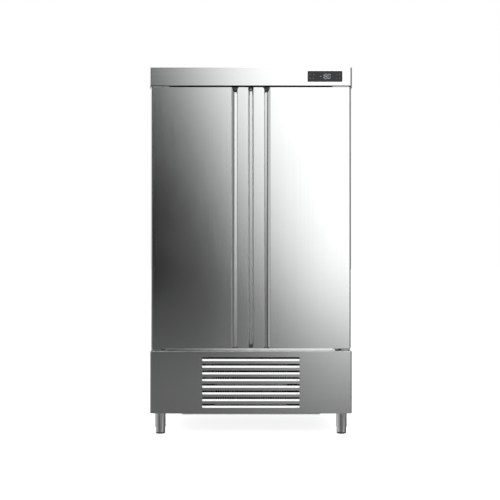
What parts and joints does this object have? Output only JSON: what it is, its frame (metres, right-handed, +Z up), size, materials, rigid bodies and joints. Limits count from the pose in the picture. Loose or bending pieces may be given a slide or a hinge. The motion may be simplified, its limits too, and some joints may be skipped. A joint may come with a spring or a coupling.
{
  "type": "upright freezer",
  "caption": "Tall stainless catering freezer with hinged full-height doors, built-in grip handles, a louvred base panel and levelling legs.",
  "frame": {"origin": "on the floor under the middle of the cabinet, with the levelling feet at their rest height", "axes": "+Z up, +X to the right seen from the front, the doors face -Y"},
  "size_m": [1.159, 0.726, 2.1],
  "materials": {
    "outer_steel": "satin",
    "door_steel": "satin",
    "inner_steel": "satin",
    "plain_steel": "satin",
    "hinge_steel": "satin",
    "leg_steel": "satin",
    "shelf_wire": "polished",
    "screw_steel": "satin",
    "foam": "matte",
    "dark_plastic": "matte",
    "grey_plastic": "matte",
    "black_display": "gloss",
    "black_rubber": "matte",
    "gasket_rubber": "matte",
    "black_paint": "satin",
    "fin_aluminium": "satin",
    "motor_metal": "satin",
    "copper": "satin",
    "white_plastic": "satin"
  },
  "bodies": {
    "cabinet": {"outer_casing": "outer_steel", "rear_panel": "plain_steel", "front_frame": "inner_steel", "inner_liner": "inner_steel", "insulation_foam": "foam", "cabinet_floor": "plain_steel", "mullion_post": "inner_steel", "mullion_cover": "door_steel", "mullion_end_caps": "dark_plastic", "door_sensor": "grey_plastic", "top_fascia": "outer_steel", "display_panel": "black_display", "controller_housing": "dark_plastic", "front_grille_panel": "outer_steel", "panel_fasteners": "screw_steel", "top_hinge_brackets": "hinge_steel", "bottom_hinge_brackets": "hinge_steel", "leg_sleeves": "leg_steel", "machine_base": "plain_steel", "condenser_coil": "fin_aluminium", "condenser_fan_shroud": "black_paint", "condenser_fan_motor": "motor_metal", "compressor": "black_paint", "compressor_grommets": "black_rubber", "refrigerant_pipes": "copper", "drain_tube": "white_plastic", "evaporation_tray": "plain_steel", "electrical_box": "grey_plastic", "power_inlet": "dark_plastic", "evaporator_cover": "inner_steel", "evaporator_coil": "fin_aluminium", "evaporator_fan_motors": "motor_metal", "rack_uprights": "inner_steel", "shelf_runners": "inner_steel", "wire_shelves": "shelf_wire"},
    "left_door": {"left_door_skin": "door_steel", "left_handle_profile": "door_steel", "left_door_end_caps": "dark_plastic", "left_door_inner_panel": "inner_steel", "left_door_foam": "foam", "left_door_gasket": "gasket_rubber", "left_door_hinge_fittings": "hinge_steel"},
    "right_door": {"right_door_skin": "door_steel", "right_handle_profile": "door_steel", "right_door_end_caps": "dark_plastic", "right_door_inner_panel": "inner_steel", "right_door_foam": "foam", "right_door_gasket": "gasket_rubber", "right_door_hinge_fittings": "hinge_steel"},
    "front_left_foot": {"foot_front_left": "leg_steel", "foot_pad_front_left": "black_rubber"},
    "front_right_foot": {"foot_front_right": "leg_steel", "foot_pad_front_right": "black_rubber"},
    "rear_left_foot": {"foot_rear_left": "leg_steel", "foot_pad_rear_left": "black_rubber"},
    "rear_right_foot": {"foot_rear_right": "leg_steel", "foot_pad_rear_right": "black_rubber"},
    "condenser_fan": {"condenser_fan_blade": "dark_plastic"},
    "evaporator_fan_left": {"evaporator_fan_blade_left": "dark_plastic"},
    "evaporator_fan_right": {"evaporator_fan_blade_right": "dark_plastic"}
  },
  "joints": [
    {"name": "left_door_hinge", "type": "hinge", "parent": "cabinet", "child": "left_door", "pos_m": [-0.5565, -0.34, 1.2415], "axis": [0, 0, -1], "range_deg": [0, 110], "stiffness_Nm_per_rad": 1},
    {"name": "right_door_hinge", "type": "hinge", "parent": "cabinet", "child": "right_door", "pos_m": [0.5565, -0.34, 1.2415], "axis": [0, 0, 1], "range_deg": [0, 110], "stiffness_Nm_per_rad": 1},
    {"name": "front_left_foot_screw", "type": "slide", "parent": "cabinet", "child": "front_left_foot", "axis": [0, 0, -1], "range_m": [-0.02, 0.025]},
    {"name": "front_right_foot_screw", "type": "slide", "parent": "cabinet", "child": "front_right_foot", "axis": [0, 0, -1], "range_m": [-0.02, 0.025]},
    {"name": "rear_left_foot_screw", "type": "slide", "parent": "cabinet", "child": "rear_left_foot", "axis": [0, 0, -1], "range_m": [-0.02, 0.025]},
    {"name": "rear_right_foot_screw", "type": "slide", "parent": "cabinet", "child": "rear_right_foot", "axis": [0, 0, -1], "range_m": [-0.02, 0.025]},
    {"name": "condenser_fan_spin", "type": "hinge", "parent": "cabinet", "child": "condenser_fan", "pos_m": [0, -0.165, 0.271], "axis": [0, 1, 0], "continuous": true},
    {"name": "evaporator_fan_left_spin", "type": "hinge", "parent": "cabinet", "child": "evaporator_fan_left", "pos_m": [-0.2, 0.019, 1.9345], "axis": [0, 1, 0], "continuous": true},
    {"name": "evaporator_fan_right_spin", "type": "hinge", "parent": "cabinet", "child": "evaporator_fan_right", "pos_m": [0.2, 0.019, 1.9345], "axis": [0, 1, 0], "continuous": true}
  ]
}
